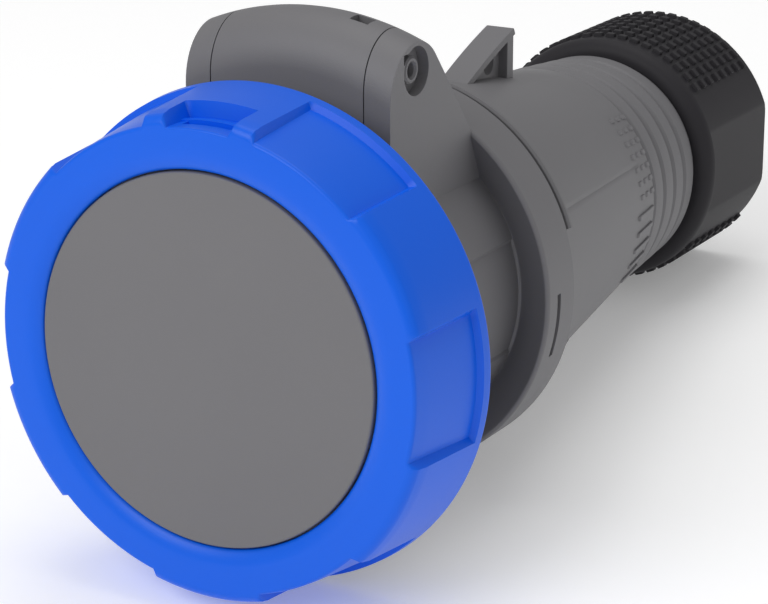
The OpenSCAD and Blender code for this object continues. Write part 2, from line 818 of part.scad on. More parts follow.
module clamp_cage() {
    finger_y = cage_seat_y + cage_base;
    color(natural) difference() {
        turned() polygon([[cage_in, cage_seat_y + 0.1], [cage_r, cage_seat_y + 0.1],
                          [cage_r, cage_end - 3], [cage_r - 1.6, cage_end], [cage_in, cage_end]]);
        for (i = [0:cage_fingers - 1]) at_clock(360 * (i + 0.5) / cage_fingers)
            translate([-1, finger_y, cage_in - 2]) cube([2, cage_end, 10]);
    }
}

module slip_washer() {
    color(natural) difference() {
        along_y(washer_y, washer_y + washer_t, cage_r + 0.3);
        along_y(washer_y - 1, nut_wall_y, nut_hole_r + 0.4);
    }
}

module nut_section() {
    polygon(concat(
        [[nut_in, nut_y + 0.5], [nut_in + 0.5, nut_y]],
        arc(nut_core_r - 3, nut_y + 3, 3, -90, 0, 5),
        arc(nut_core_r - edge_round, nut_end - edge_round, edge_round, 0, 90, 3),
        [[nut_hole_r + 2, nut_end], [nut_hole_r, nut_end - 3],
         [nut_hole_r, nut_wall_y], [cage_r + 0.7, nut_wall_y],
         [cage_r + 0.7, washer_y - 0.6], [nut_in, thread_end + 0.6]]));
}

// One zone of gripping ridges along the nut
module knurl_zone() {
    half = (knurl_rows - 1) / 2;
    for (i = [-half:half]) at_clock(i * knurl_pitch)
        lug_plate(knurl_w / 2,
                  [[knurl_y, nut_core_r - 0.6], [knurl_y + 1, nut_r],
                   [knurl_end, nut_r], [knurl_end, nut_core_r - 0.6]]);
}

module gland_nut() {
    color(nut_black) difference() {
        union() {
            turned() nut_section();
            knurl_zone();
            at_clock(180) knurl_zone();
        }
        for (side = [90, 270]) at_clock(side)
            translate([-nut_r, nut_y + 3, nut_flat]) cube([2 * nut_r, nut_len, 10]);
    }
}

posed() front_housing();
posed() hinge_flange();
posed() rear_shell();
posed() contact_insert();
posed() contact_retainer();
posed() line_contact();
posed() neutral_contact();
posed() earth_contact();
posed() terminal_screws();
posed() retainer_screws();
posed() insert_snap_ring();
posed() housing_seal();
posed() shell_latches();
posed() hinge_pin();
posed() lid_spring();
posed() lid();
posed() lid_gasket();
posed() bayonet_ring();
posed() ring_clip();
posed() grommet();
posed() clamp_cage();
posed() slip_washer();
posed() gland_nut();
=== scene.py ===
import json
import math

import bmesh
import bpy
from mathutils import Matrix, Vector


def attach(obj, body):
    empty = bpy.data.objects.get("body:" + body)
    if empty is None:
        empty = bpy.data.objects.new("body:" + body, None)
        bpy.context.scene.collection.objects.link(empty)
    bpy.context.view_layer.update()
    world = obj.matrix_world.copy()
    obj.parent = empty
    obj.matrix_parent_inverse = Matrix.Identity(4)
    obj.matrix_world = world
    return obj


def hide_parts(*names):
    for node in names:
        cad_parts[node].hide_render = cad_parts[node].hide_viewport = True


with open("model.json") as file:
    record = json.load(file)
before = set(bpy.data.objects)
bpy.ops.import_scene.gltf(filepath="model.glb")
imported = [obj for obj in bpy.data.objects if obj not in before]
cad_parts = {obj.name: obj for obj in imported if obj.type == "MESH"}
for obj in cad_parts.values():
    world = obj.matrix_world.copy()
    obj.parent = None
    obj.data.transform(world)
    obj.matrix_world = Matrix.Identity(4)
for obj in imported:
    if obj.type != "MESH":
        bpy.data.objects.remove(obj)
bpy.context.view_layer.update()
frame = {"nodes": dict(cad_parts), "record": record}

# Every new piece is modelled in millimetres on the connector's own axis: y runs
# from the lid to the gland nut, z points to the hinge. layDown then sets it on
# the floor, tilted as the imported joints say. Clocks are degrees from the hinge.
hinge = dict(y=41.7, z=50.8)
jointList = {j["name"]: j for j in frame["record"]["behaviour"]["joints"]}
alongAxis = Vector(jointList["ring_turn"]["axis"])
tilt = math.atan2(-alongAxis.z, alongAxis.y)
layDown = (Matrix.Translation(jointList["lid_hinge"]["pos_m"]) @ Matrix.Rotation(-tilt, 4, "X")
           @ Matrix.Scale(0.001, 4) @ Matrix.Translation((0, -hinge["y"], -hinge["z"])))


# small tools shared by the pieces

def deselectAll():
    if bpy.context.mode != "OBJECT":
        bpy.ops.object.mode_set(mode="OBJECT")
    bpy.ops.object.select_all(action="DESELECT")


def makeActive(piece):
    deselectAll()
    piece.select_set(True)
    bpy.context.view_layer.objects.active = piece


def arc(cr, cy, radius, start, end, count):
    # points (r, y) on an arc about (cr, cy)
    return [(cr + radius * math.cos(math.radians(start + (end - start) * i / count)),
             cy + radius * math.sin(math.radians(start + (end - start) * i / count)))
            for i in range(count + 1)]


def clockOf(co):
    return math.degrees(math.atan2(co.x, co.z)) % 360


def within(clock, middle, half):
    return abs((clock - middle + 180) % 360 - 180) <= half + 0.01


def pickVerts(piece, test):
    # selects, in edit mode, the vertices that test(r, y, clock, co) is true for
    mesh = bmesh.from_edit_mesh(piece.data)
    bpy.ops.mesh.select_mode(type="VERT")
    for vert in mesh.verts:
        vert.select = test(math.hypot(vert.co.x, vert.co.z), vert.co.y, clockOf(vert.co), vert.co)
    mesh.select_flush_mode()
    bmesh.update_edit_mesh(piece.data)


def pickFaces(piece, test):
    mesh = bmesh.from_edit_mesh(piece.data)
    bpy.ops.mesh.select_mode(type="FACE")
    for face in mesh.faces:
        co = face.calc_center_median()
        face.select = test(math.hypot(co.x, co.z), co.y, clockOf(co), face.normal)
    mesh.select_flush_mode()
    bmesh.update_edit_mesh(piece.data)


def spinOutline(name, outline, start=0.0, end=360.0, steps=360, closed=True):
    # an outline of (r, y) points is laid on one side of the axis and spun
    deselectAll()
    bpy.ops.mesh.primitive_circle_add(vertices=len(outline), radius=10)
    piece = bpy.context.object
    piece.name = piece.data.name = name
    turn = math.radians(start)
    for vert, (r, y) in zip(piece.data.vertices, outline):
        vert.co = (r * math.sin(turn), y, r * math.cos(turn))
    bpy.ops.object.mode_set(mode="EDIT")
    bpy.ops.mesh.select_mode(type="EDGE")
    if not closed:
        mesh = bmesh.from_edit_mesh(piece.data)
        mesh.verts.ensure_lookup_table()
        ends = {mesh.verts[0], mesh.verts[len(outline) - 1]}
        for edge in mesh.edges:
            edge.select = set(edge.verts) == ends
        bmesh.update_edit_mesh(piece.data)
        bpy.ops.mesh.delete(type="EDGE")
    bpy.ops.mesh.select_all(action="SELECT")
    bpy.ops.mesh.spin(steps=steps, angle=math.radians(end - start), center=(0, 0, 0), axis=(0, -1, 0),
                      use_auto_merge=False)
    bpy.ops.mesh.select_all(action="SELECT")
    bpy.ops.mesh.remove_doubles(threshold=0.004)
    if end - start < 359.9:
        bpy.ops.mesh.select_all(action="SELECT")
        bpy.ops.mesh.fill_holes(sides=0)
    bpy.ops.mesh.select_all(action="SELECT")
    bpy.ops.mesh.normals_make_consistent(inside=False)
    return piece


def moveRow(piece, fromPoint, toPoint, clocks, near=0.03):
    # a row of vertices, picked by place and clock, goes to a new radius and y
    pickVerts(piece, lambda r, y, clock, co: abs(r - fromPoint[0]) < near and abs(y - fromPoint[1]) < near
              and clocks(clock))
    factor = toPoint[0] / fromPoint[0]
    bpy.ops.transform.resize(value=(factor, 1, factor), center_override=(0, 0, 0))
    bpy.ops.transform.translate(value=(0, toPoint[1] - fromPoint[1], 0))


def sliceAway(piece, at, normal):
    # cuts off what lies on the normal's side and closes the cut
    bpy.ops.mesh.select_all(action="SELECT")
    bpy.ops.mesh.bisect(plane_co=at, plane_no=normal, use_fill=True, clear_outer=True)


def sideShape(name, points, x0, x1):
    # a side view of (y, z) points, extruded from x0 to x1
    deselectAll()
    bpy.ops.mesh.primitive_circle_add(vertices=len(points), radius=10, fill_type="NGON")
    piece = bpy.context.object
    piece.name = piece.data.name = name
    for vert, (y, z) in zip(piece.data.vertices, points):
        vert.co = (x0, y, z)
    bpy.ops.object.mode_set(mode="EDIT")
    bpy.ops.mesh.select_all(action="SELECT")
    bpy.ops.mesh.extrude_region_move(TRANSFORM_OT_translate={"value": (x1 - x0, 0, 0)})
    bpy.ops.mesh.select_all(action="SELECT")
    bpy.ops.mesh.normals_make_consistent(inside=False)
    return piece


def drum(name, at, along, radius, length, vertices=64):
    # a round cutter, centred on at
    deselectAll()
    turn = {"X": (0, math.pi / 2, 0), "Y": (math.pi / 2, 0, 0), "Z": (0, 0, 0)}[along]
    bpy.ops.mesh.primitive_cylinder_add(vertices=vertices, radius=radius, depth=length,
                                        location=at, rotation=turn)
    bpy.context.object.name = name
    return bpy.context.object


def block(name, low, high):
    # a box-shaped cutter between two corners
    deselectAll()
    middle = [(a + b) / 2 for a, b in zip(low, high)]
    bpy.ops.mesh.primitive_cube_add(size=1, location=middle)
    cutter = bpy.context.object
    cutter.name = name
    cutter.scale = [b - a for a, b in zip(low, high)]
    return cutter


def applyModifier(piece, modifier):
    makeActive(piece)
    bpy.ops.object.modifier_apply(modifier=modifier.name)


def cutWith(piece, *cutters):
    for cutter in cutters:
        makeActive(piece)
        carve = piece.modifiers.new("carve", "BOOLEAN")
        carve.operation = "DIFFERENCE"
        carve.solver = "EXACT"
        carve.object = cutter
        applyModifier(piece, carve)
        bpy.data.objects.remove(cutter, do_unlink=True)
    return piece


def softenEdges(piece, width, segments=3, angle=32):
    makeActive(piece)
    soften = piece.modifiers.new("soften", "BEVEL")
    soften.width = width
    soften.segments = segments
    soften.limit_method = "ANGLE"
    soften.angle_limit = math.radians(angle)
    soften.use_clamp_overlap = True
    soften.harden_normals = False
    applyModifier(piece, soften)


def joinPieces(first, *others):
    deselectAll()
    for piece in (first, *others):
        piece.select_set(True)
    bpy.context.view_layer.objects.active = first
    bpy.ops.object.join()
    return first


def finishPiece(piece, body, material, nodes, smoothAngle=30):
    makeActive(piece)
    piece.matrix_world = layDown @ piece.matrix_world
    bpy.ops.object.transform_apply(location=True, rotation=True, scale=True)
    bpy.ops.object.shade_smooth_by_angle(angle=math.radians(smoothAngle))
    even = piece.modifiers.new("even", "WEIGHTED_NORMAL")
    even.keep_sharp = True
    even.weight = 60
    applyModifier(piece, even)
    piece.data.materials.clear()
    piece.data.materials.append(material)
    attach(piece, body)
    if nodes:
        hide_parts(*nodes)
    print("made", piece.name, len(piece.data.polygons), "faces")
    return piece


# materials

def mouldedPlastic(name, colour, shade, roughness, grain, grainScale, sheen=0.5):
    # moulded plastic: a fine eroded grain, faint flow clouding and slightly worn gloss
    material = bpy.data.materials.new(name)
    material.use_nodes = True
    nodes, links = material.node_tree.nodes, material.node_tree.links
    shader = nodes["Principled BSDF"]
    shader.inputs["Specular IOR Level"].default_value = sheen
    shader.inputs["IOR"].default_value = 1.5
    place = nodes.new("ShaderNodeTexCoord")
    cloud = nodes.new("ShaderNodeTexNoise")
    cloud.inputs["Scale"].default_value = 28
    cloud.inputs["Detail"].default_value = 3
    tone = nodes.new("ShaderNodeMix")
    tone.data_type = "RGBA"
    tone.inputs["A"].default_value = (*colour, 1)
    tone.inputs["B"].default_value = (*shade, 1)
    links.new(place.outputs["Object"], cloud.inputs["Vector"])
    links.new(cloud.outputs["Fac"], tone.inputs["Factor"])
    links.new(tone.outputs["Result"], shader.inputs["Base Color"])
    fine = nodes.new("ShaderNodeTexNoise")
    fine.inputs["Scale"].default_value = grainScale
    fine.inputs["Detail"].default_value = 4
    links.new(place.outputs["Object"], fine.inputs["Vector"])
    gloss = nodes.new("ShaderNodeMapRange")
    gloss.inputs["To Min"].default_value = roughness - 0.06
    gloss.inputs["To Max"].default_value = roughness + 0.06
    links.new(fine.outputs["Fac"], gloss.inputs["Value"])
    links.new(gloss.outputs["Result"], shader.inputs["Roughness"])
    bump = nodes.new("ShaderNodeBump")
    bump.inputs["Strength"].default_value = grain
    bump.inputs["Distance"].default_value = 0.0001
    links.new(fine.outputs["Fac"], bump.inputs["Height"])
    links.new(bump.outputs["Normal"], shader.inputs["Normal"])
    return material


def turnedMetal(name, colour, roughness, lineScale):
    # machined metal: fine tool lines along one way, with a little tarnish
    material = bpy.data.materials.new(name)
    material.use_nodes = True
    nodes, links = material.node_tree.nodes, material.node_tree.links
    shader = nodes["Principled BSDF"]
    shader.inputs["Metallic"].default_value = 1.0
    place = nodes.new("ShaderNodeTexCoord")
    stretch = nodes.new("ShaderNodeMapping")
    stretch.inputs["Scale"].default_value = (1, lineScale, 1)
    links.new(place.outputs["Object"], stretch.inputs["Vector"])
    lines = nodes.new("ShaderNodeTexNoise")
    lines.inputs["Scale"].default_value = 140
    lines.inputs["Detail"].default_value = 3
    links.new(stretch.outputs["Vector"], lines.inputs["Vector"])
    tarnish = nodes.new("ShaderNodeTexNoise")
    tarnish.inputs["Scale"].default_value = 90
    links.new(place.outputs["Object"], tarnish.inputs["Vector"])
    tone = nodes.new("ShaderNodeMix")
    tone.data_type = "RGBA"
    tone.inputs["A"].default_value = (*colour, 1)
    tone.inputs["B"].default_value = (*[c * 0.72 for c in colour], 1)
    links.new(tarnish.outputs["Fac"], tone.inputs["Factor"])
    links.new(tone.outputs["Result"], shader.inputs["Base Color"])
    gloss = nodes.new("ShaderNodeMapRange")
    gloss.inputs["To Min"].default_value = roughness - 0.08
    gloss.inputs["To Max"].default_value = roughness + 0.1
    links.new(lines.outputs["Fac"], gloss.inputs["Value"])
    links.new(gloss.outputs["Result"], shader.inputs["Roughness"])
    bump = nodes.new("ShaderNodeBump")
    bump.inputs["Strength"].default_value = 0.15
    bump.inputs["Distance"].default_value = 0.00005
    links.new(lines.outputs["Fac"], bump.inputs["Height"])
    links.new(bump.outputs["Normal"], shader.inputs["Normal"])
    return material


housingGrey = mouldedPlastic("housingGrey", (0.165, 0.162, 0.170), (0.150, 0.147, 0.156), 0.52, 0.35, 5200)
ringBlue = mouldedPlastic("ringBlue", (0.001, 0.122, 0.80), (0.001, 0.110, 0.75), 0.34, 0.18, 4600, 0.28)
nutBlack = mouldedPlastic("nutBlack", (0.026, 0.024, 0.028), (0.021, 0.020, 0.023), 0.54, 0.35, 5200, 0.2)
insertGrey = mouldedPlastic("insertGrey", (0.26, 0.255, 0.26), (0.23, 0.226, 0.232), 0.46, 0.25, 5200)
naturalPlastic = mouldedPlastic("naturalPlastic", (0.78, 0.76, 0.69), (0.71, 0.69, 0.61), 0.42, 0.2, 5200)
sealRubber = mouldedPlastic("sealRubber", (0.014, 0.014, 0.016), (0.02, 0.02, 0.022), 0.62, 0.3, 3600, 0.35)
contactBrass = turnedMetal("contactBrass", (0.66, 0.47, 0.16), 0.3, 0.08)
pinSteel = turnedMetal("pinSteel", (0.5, 0.51, 0.52), 0.34, 1.0)
print("materials mixed")


# bayonet ring

ringSizes = dict(front=48.1, rear=50.0, length=22.6, skirt=45.0, lip=2.6, face=37.3, rounding=2.2,
                 gripHalf=14.6, gripFront=1.9, gripRear=1.3, gripEnd=19.4, gripEdge=0.8,
                 windowHalf=9.1, windowFloor=45.55, windowEnd=8.4, windowEdge=0.5,
                 pocketHalf=6.6, pocketDepth=0.95, pocketFront=3.2, pocketRear=7.4, rearRounding=0.8,
                 clipFront=5.4, clipRear=6.95, clipDepth=0.9, softening=0.34,
                 hookIn=40.4, hookStart=14.0, hookDepth=5.2, hookHalf=14, hookRamp=6, hookClocks=(48, 228))


def outerAt(y):
    s = ringSizes
    return s["front"] + (s["rear"] - s["front"]) * y / s["length"]


def makeBayonetRing():
    s = ringSizes
    # the bevelled inner edge of the front, drawn point by point
    lipEdge = [(s["face"], s["lip"]), (s["face"], 1.75), (37.52, 1.3), (38.0, 0.92), (38.8, 0.52),
               (39.7, 0.2), (40.6, 0.03), (42.0, 0.0), (43.6, 0.0)]
    frontArc = arc(s["front"] - s["rounding"], s["rounding"], s["rounding"], -90, 0, 7)
    side = [(outerAt(y), y) for y in (s["pocketFront"], 4.6, 6.0, s["pocketRear"], s["windowEnd"],
                                      8.9, 12, 15.5, 18.4, s["gripEnd"], 19.9, 21.0)]
    rounding = s["rearRounding"]
    rearArc = arc(s["rear"] - rounding, s["length"] - rounding, rounding, 8, 90, 4)
    clipFloor = s["skirt"] + s["clipDepth"]
    inside = [(s["skirt"] + 0.4, s["length"]), (s["skirt"], s["length"] - 0.4), (s["skirt"], 12.0),
              (s["skirt"], s["clipRear"] + 0.05), (clipFloor, s["clipRear"]), (clipFloor, s["clipFront"]),
              (s["skirt"], s["clipFront"] - 0.05), (s["skirt"], s["lip"])]
    ring = spinOutline("ringShell", lipEdge + frontArc + side + rearArc + inside, 0.5, 360.5)

    # finger grips: the outer rows sink, with a small rounding at their front
    def inGrip(clock):
        return any(within(clock, 30 + 60 * i, s["gripHalf"]) for i in range(6))
    floorFront = s["front"] - s["gripFront"]
    gripArc = arc(floorFront - s["gripEdge"], s["gripEdge"], s["gripEdge"], -90, 0, 7)
    for old, new in zip(frontArc, gripArc):
        moveRow(ring, old, new, inGrip)
    for r, y in side:
        if y <= s["gripEnd"] + 0.01:
            sink = s["gripFront"] + (s["gripRear"] - s["gripFront"]) * y / s["gripEnd"]
            moveRow(ring, (r, y), (r - sink, y), inGrip)

    # lock window at the top
    def inWindow(clock):
        return within(clock, 0, s["windowHalf"])
    windowArc = arc(s["windowFloor"] - s["windowEdge"], s["windowEdge"], s["windowEdge"], -90, 0, 7)
    for old, new in zip(frontArc, windowArc):
        moveRow(ring, old, new, inWindow)
    for r, y in side:
        if y <= s["windowEnd"] + 0.01:
            moveRow(ring, (r, y), (s["windowFloor"], y), inWindow)
    pickFaces(ring, lambda r, y, clock, normal: within(clock, 0, s["pocketHalf"])
              and s["pocketFront"] < y < s["pocketRear"] and abs(r - s["windowFloor"]) < 0.3)
    bpy.ops.mesh.extrude_region_move()
    factor = 1 - s["pocketDepth"] / s["windowFloor"]
    bpy.ops.transform.resize(value=(factor, 1, factor), center_override=(0, 0, 0))
    bpy.ops.object.mode_set(mode="OBJECT")
    softenEdges(ring, s["softening"], 3, 34)

    # two hooks inside the skirt, with a ramp in front
    for middle in s["hookClocks"]:
        rear = s["hookStart"] + s["hookDepth"]
        hook = spinOutline("hook", [(s["hookIn"], s["hookStart"]), (s["skirt"] + 0.4, s["hookStart"]),
                                    (s["skirt"] + 0.4, rear), (s["hookIn"], rear)],
                           middle - s["hookHalf"], middle + s["hookHalf"], 28)
        turn = Matrix.Rotation(math.radians(middle), 3, "Y")
        ramp = turn @ Matrix.Rotation(math.radians(-s["hookRamp"]), 3, "Z") @ Vector((0, -1, 0))
        at = turn @ Vector((0, s["hookStart"], s["hookIn"]))
        sliceAway(hook, at, ramp)
        bpy.ops.object.mode_set(mode="OBJECT")
        softenEdges(hook, 0.3, 2, 40)
        ring = joinPieces(ring, hook)
    return finishPiece(ring, "bayonet_ring", ringBlue, ["bayonet_ring"])


# lid

lidSizes = dict(face=37.0, inset=0.85, plate=3.85, rim=44.6, rimFront=2.8, rimBack=5.2,
                grooveIn=29.6, grooveOut=35.5, grooveFloor=3.6, armIn=38.2, armOut=44.3, armHalf=22,
                knuckleHalf=17.15, nose=10.2, slope=47.6, pinHole=2.79, bay=6.4, bayHalf=12,
                bayFront=5.8, bayBack=14, bayAbove=2.2, knuckleBack=9.6,
                drainX=(9.6, 13.6), drainFront=2.2, drainBack=1.2, edge=0.45, corner=0.2,
                ribHalf=0.8, ribRise=0.9, ribSink=0.3, ribGap=3.2)


def hingeOutline(lowR, backY, count=22):
    # ears and knuckle share this outline of (r, y), rounded over the hinge
    nose, slope = lidSizes["nose"], lidSizes["slope"]
    top = 90 - slope
    points = [(lowR, hinge["y"] - nose)]
    for i in range(count + 1):
        turn = math.radians(180 - (180 - top) * i / count)
        points.append((hinge["z"] + nose * math.sin(turn), hinge["y"] + nose * math.cos(turn)))
    lastR, lastY = points[-1]
    points.append((lastR - (backY - lastY) * math.tan(math.radians(slope)), backY))
    points.append((lowR, backY))
    return points


def makeLid():
    s = lidSizes
    edge, corner = s["edge"], s["corner"]
    outline = ([(0.001, s["inset"]), (12, s["inset"]), (24, s["inset"]), (35, s["inset"])]
               + arc(s["face"] - edge, s["inset"] + edge, edge, -90, 0, 4)
               + [(s["face"], s["rimFront"]), (s["rim"] - corner, s["rimFront"]),
                  (s["rim"], s["rimFront"] + corner), (s["rim"], s["rimBack"] - corner),
                  (s["rim"] - corner, s["rimBack"]), (s["grooveOut"], s["rimBack"]),
                  (s["grooveOut"], s["grooveFloor"]), (s["grooveIn"], s["grooveFloor"]),
                  (s["grooveIn"], s["rimBack"]), (s["grooveIn"] - 2.5, s["rimBack"]),
                  (s["grooveIn"] - 2.8, s["rimBack"] - 0.3), (s["grooveIn"] - 3.1, s["plate"]),
                  (0.001, s["plate"])])
    disc = spinOutline("lidShell", outline, 0, 360, 240, closed=False)
    bpy.ops.object.mode_set(mode="OBJECT")

    armFront = s["rimBack"] - 1
    armBack = hinge["y"] - s["nose"] + 3
    arm = spinOutline("arm", [(s["armIn"], armFront), (s["armOut"], armFront),
                              (s["armOut"], armBack), (s["armIn"], armBack)],
                      -s["armHalf"], s["armHalf"], 44)
    bpy.ops.object.mode_set(mode="OBJECT")
    softenEdges(arm, 0.5, 3, 40)

    knuckle = spinOutline("knuckle", hingeOutline(s["armIn"], hinge["y"] + s["knuckleBack"]), -30, 30, 60)
    sliceAway(knuckle, (s["knuckleHalf"], 0, 0), (1, 0, 0))
    sliceAway(knuckle, (-s["knuckleHalf"], 0, 0), (-1, 0, 0))
    bpy.ops.object.mode_set(mode="OBJECT")
    softenEdges(knuckle, 0.45, 3, 50)
    cutWith(knuckle,
            drum("pinHole", (0, hinge["y"], hinge["z"]), "X", s["pinHole"], 60),
            drum("bay", (0, hinge["y"], hinge["z"]), "X", s["bay"], 2 * s["bayHalf"]),
            block("bayMouth", (-s["bayHalf"] + 0.01, hinge["y"] - s["bayFront"], s["armIn"] - 6),
                  (s["bayHalf"] - 0.01, hinge["y"] + s["bayBack"], hinge["z"] + s["bayAbove"])),
            block("drain", (s["drainX"][0], hinge["y"] - s["drainFront"], hinge["z"] + 3),
                  (s["drainX"][1], hinge["y"] + s["drainBack"], hinge["z"] + 14)))

    # four stiffening ribs cross under the plate
    ribs = []
    reach = s["grooveIn"] - s["ribGap"]
    low, high = s["plate"] - s["ribSink"], s["plate"] + s["ribRise"]
    for i in range(4):
        rib = sideShape("rib", [(low, -reach), (high, -reach), (high, reach), (low, reach)],
                        -s["ribHalf"], s["ribHalf"])
        bpy.ops.transform.rotate(value=math.radians(45 * i), orient_axis="Y", center_override=(0, 0, 0))
        bpy.ops.object.mode_set(mode="OBJECT")
        softenEdges(rib, 0.25, 2, 40)
        ribs.append(rib)
    lid = joinPieces(disc, arm, knuckle, *ribs)
    return finishPiece(lid, "lid", housingGrey, ["lid"])


# front housing with its flange and ears

housingSizes = dict(mouth=28.5, mouthFront=6.2, mouthEnd=47.0, bore=30.6, neck=33.0, rim=35.6,
                    rimEnd=13.4, flange=41.2, flangeFront=64.1, dish=68.1, flangeBack=76.3,
                    spigot=33.6, spigotEnd=87.9, sealFront=81.3, sealRear=83.3, sealDepth=1.7,
                    snapFront=57.05, snapRear=59.2, snapDepth=0.8,
                    panelDepth=0.5, panelStart=70, panelEnd=111, keyWidth=7.0, keyDepth=1.6,
                    drainClocks=(97.5, 262.5), drainHalf=9.4, drainFront=4.0, drainRear=5.5, drainDepth=1.8,
                    earIn=17.4, earOut=23.1, earHole=2.74, earClocks=(10, 50), earNotch=1.9,
                    recess=4.85, recessDepth=2.4, lug=42.6, lugStart=8.4, lugDepth=5.0, lugHalf=14)


def makeHousing():
    s = housingSizes
    neckRows = [(s["neck"], y) for y in (16.0, 22.4, 22.8, 35, 48, 60, s["dish"] - 0.35)]
    sealFloor = s["spigot"] - s["sealDepth"]
    snapFloor = s["bore"] + s["snapDepth"]
    outline = ([(s["mouth"], s["mouthFront"] + 0.8), (s["mouth"] + 0.25, s["mouthFront"] + 0.25),
                (s["mouth"] + 0.8, s["mouthFront"])]
               + arc(s["rim"] - 0.8, s["mouthFront"] + 0.8, 0.8, -90, 0, 4)
               + [(s["rim"], s["rimEnd"])] + neckRows
               + [(s["neck"], s["dish"]), (s["neck"] + 0.5, s["dish"] - 0.2),
                  (s["flange"] - 1.3, s["flangeFront"] + 0.15)]
               + arc(s["flange"] - 0.9, s["flangeFront"] + 0.9, 0.9, -80, 0, 4)
               + [(s["flange"], s["flangeFront"] + s["drainFront"]),
                  (s["flange"], s["flangeFront"] + s["drainRear"])]
               + arc(s["flange"] - 0.6, s["flangeBack"] - 0.6, 0.6, 0, 90, 4)
               + [(s["spigot"], s["flangeBack"]), (s["spigot"], s["sealFront"]),
                  (sealFloor, s["sealFront"]), (sealFloor, s["sealRear"]), (s["spigot"], s["sealRear"]),
                  (s["spigot"], s["spigotEnd"] - 0.6), (s["spigot"] - 0.6, s["spigotEnd"]),
                  (s["bore"], s["spigotEnd"]), (s["bore"], s["snapRear"]), (snapFloor, s["snapRear"]),
                  (snapFloor, s["snapFront"]), (s["bore"], s["snapFront"]),
                  (s["bore"], s["mouthEnd"]), (s["mouth"], s["mouthEnd"])])
    body = spinOutline("housingShell", outline, 0, 360)

    # sunken panels on both sides of the neck
    def inPanel(clock):
        return any(s["panelStart"] - 0.1 <= turn <= s["panelEnd"] + 0.1 for turn in (clock, 360 - clock))
    for r, y in neckRows[2:]:
        moveRow(body, (r, y), (r - s["panelDepth"], y), inPanel)
    # drain slots in the flange's rim
    for middle in s["drainClocks"]:
        pickFaces(body, lambda r, y, clock, normal: within(clock, middle, s["drainHalf"])
                  and r > s["flange"] - 0.2
                  and s["drainFront"] < y - s["flangeFront"] < s["drainRear"])
        bpy.ops.mesh.extrude_region_move()
        factor = 1 - s["drainDepth"] / s["flange"]
        bpy.ops.transform.resize(value=(factor, 1, factor), center_override=(0, 0, 0))
    bpy.ops.object.mode_set(mode="OBJECT")
    cutWith(body, block("keyway", (-s["keyWidth"] / 2, 0, -s["mouth"] - s["keyDepth"]),
                        (s["keyWidth"] / 2, s["mouthEnd"], -20)))
    softenEdges(body, 0.25, 2, 34)

    parts = []
    for side in (1, -1):
        start, end = sorted(side * clock for clock in s["earClocks"])
        ear = spinOutline("ear", hingeOutline(s["neck"] - 1.2, s["dish"] + 0.6), start, end, 60)
        left, right = sorted((s["earIn"] * side, s["earOut"] * side))
        sliceAway(ear, (right, 0, 0), (1, 0, 0))
        sliceAway(ear, (left, 0, 0), (-1, 0, 0))
        bpy.ops.object.mode_set(mode="OBJECT")
        softenEdges(ear, 0.5, 3, 50)
        notch = sorted((side * (s["earOut"] - s["earNotch"]), side * (s["earOut"] + 1)))
        cutWith(ear,
                drum("earHole", (0, hinge["y"], hinge["z"]), "X", s["earHole"], 60),
                drum("earRecess", (side * s["earOut"], hinge["y"], hinge["z"]), "X",
                     s["recess"], 2 * s["recessDepth"]),
                block("earNotch", (notch[0], hinge["y"] - 4.9, hinge["z"] + 1.9),
                      (notch[1], hinge["y"] - 2.6, hinge["z"] + 3.9)))
        parts.append(ear)
        lugEnd = s["lugStart"] + s["lugDepth"]
        lug = spinOutline("lug", [(s["rim"] - 0.6, s["lugStart"]), (s["lug"] - 0.6, s["lugStart"]),
                                  (s["lug"], s["lugStart"] + 0.6), (s["lug"], lugEnd),
                                  (s["rim"] - 0.6, lugEnd)],
                          90 * side - s["lugHalf"], 90 * side + s["lugHalf"], 28)
        bpy.ops.object.mode_set(mode="OBJECT")
        softenEdges(lug, 0.4, 3, 40)
        parts.append(lug)
    body = joinPieces(body, *parts)
    return finishPiece(body, "connector", housingGrey, ["front_housing", "hinge_flange"])


# hinge pin

pinSizes = dict(outer=2.7, bore=1.55, half=22.1, edge=0.35, boreEdge=0.3)


def makeHingePin():
    s = pinSizes
    half, edge = s["half"], s["edge"]
    flare = s["bore"] + s["boreEdge"]
    outline = [(s["bore"], 0), (s["bore"], half - 0.5), (flare, half), (s["outer"] - edge, half),
               (s["outer"], half - edge), (s["outer"], half - 1.2), (s["outer"], 0),
               (s["outer"], -half + 1.2), (s["outer"], -half + edge), (s["outer"] - edge, -half),
               (flare, -half), (s["bore"], -half + 0.5)]
    pin = spinOutline("hingePin", outline, 0, 360, 48)
    bpy.ops.mesh.select_all(action="SELECT")
    bpy.ops.transform.rotate(value=math.pi / 2, orient_axis="Z", center_override=(0, 0, 0))
    bpy.ops.transform.translate(value=(0, hinge["y"], hinge["z"]))
    bpy.ops.object.mode_set(mode="OBJECT")
    return finishPiece(pin, "connector", housingGrey, ["hinge_pin"])


# rear shell with its hanging lug

shellSizes = dict(front=37.3, start=77.55, stripEnd=79.55, strip=41.0, stripHalf=72, taperEnd=144.0,
                  taperR=28.4, collarFront=27.7, collarEnd=25.2, end=173.0, thread=24.0, threadEnd=195.0,
                  inside=33.7, wall=3.0, passage=17.3, seatY=171.2, seatR=20.3,
                  lineClock=68, lineDepth=0.22, edge=0.5, beadCount=4,
                  lugHalf=3.4, lugFoot=99.0, lugPeakY=121.6, lugPeakZ=42.4, lugBulge=0.22,
                  strap=1.5, post=3.0, web=2.4, eyeY=113.9, eyeR=2.3,
                  latchClocks=(120, 240), latchHalf=4.1, latchFront=79.85, latchRear=88.65, latchDepth=1.8)


def taperAt(y):
    s = shellSizes
    return s["front"] + (s["taperR"] - s["front"]) * (y - s["start"]) / (s["taperEnd"] - s["start"])


